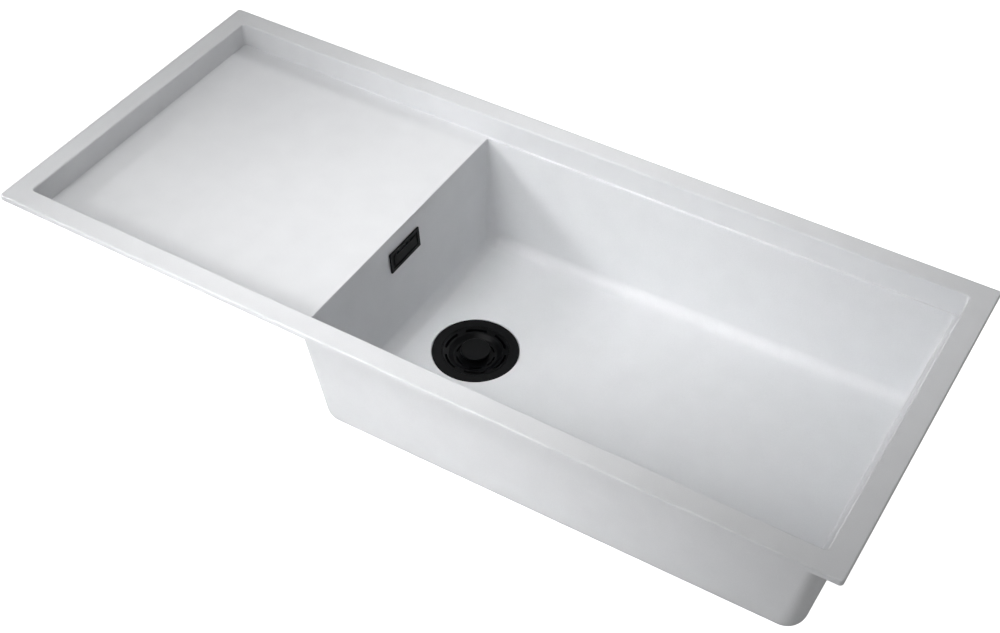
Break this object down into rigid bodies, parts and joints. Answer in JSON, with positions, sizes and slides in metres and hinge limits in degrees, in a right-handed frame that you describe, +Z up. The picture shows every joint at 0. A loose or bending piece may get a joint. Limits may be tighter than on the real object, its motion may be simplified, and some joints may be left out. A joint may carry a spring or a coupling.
{
  "type": "kitchen sink with drainboard",
  "caption": "Inset composite kitchen sink: flush drainer beside one deep coved bowl, with black basket waste, wall overflow and hose below.",
  "frame": {"origin": "centre of the rim's rectangle, in the plane of the rim's underside, which lies on the worktop", "axes": "+X along the sink from the drainer to the bowl, +Y to the back, +Z up out of the worktop"},
  "size_m": [1.16, 0.503, 0.2985],
  "materials": {
    "composite": "moulded quartz and acrylic composite, fine matt white",
    "black_plastic": "moulded, satin black",
    "white_plastic": "moulded polypropylene, off-white",
    "grey_plastic": "blow-moulded, grey",
    "grey_rubber": "matt",
    "steel": "turned",
    "brass": "turned"
  },
  "bodies": {
    "sink": {"sink_body": "composite", "waste_flange": "black_plastic", "flange_gasket": "grey_rubber", "body_gasket": "grey_rubber", "waste_body": "white_plastic", "waste_screw": "steel", "screw_insert": "brass", "overflow_frame": "black_plastic", "overflow_plate": "black_plastic", "overflow_screws": "steel", "overflow_front_gasket": "grey_rubber", "overflow_rear_gasket": "grey_rubber", "overflow_elbow": "white_plastic", "overflow_hose": "grey_plastic", "hose_top_nut": "white_plastic", "hose_bottom_nut": "white_plastic", "hose_top_washer": "grey_rubber", "hose_bottom_washer": "grey_rubber"},
    "basket_bush": {"snap_sleeve": "white_plastic"},
    "strainer": {"basket_dish": "black_plastic", "basket_knob": "black_plastic", "basket_stem": "black_plastic", "basket_seal": "grey_rubber", "seal_washer": "black_plastic"}
  },
  "joints": [
    {"name": "basket_lift", "type": "slide", "parent": "sink", "child": "basket_bush", "axis": [0, 0, 1], "range_m": [0, 0.06]},
    {"name": "basket_turn", "type": "hinge", "parent": "basket_bush", "child": "strainer", "pos_m": [-0.0135, 0.0015, -0.2339], "axis": [0, 0, 1], "continuous": true}
  ]
}
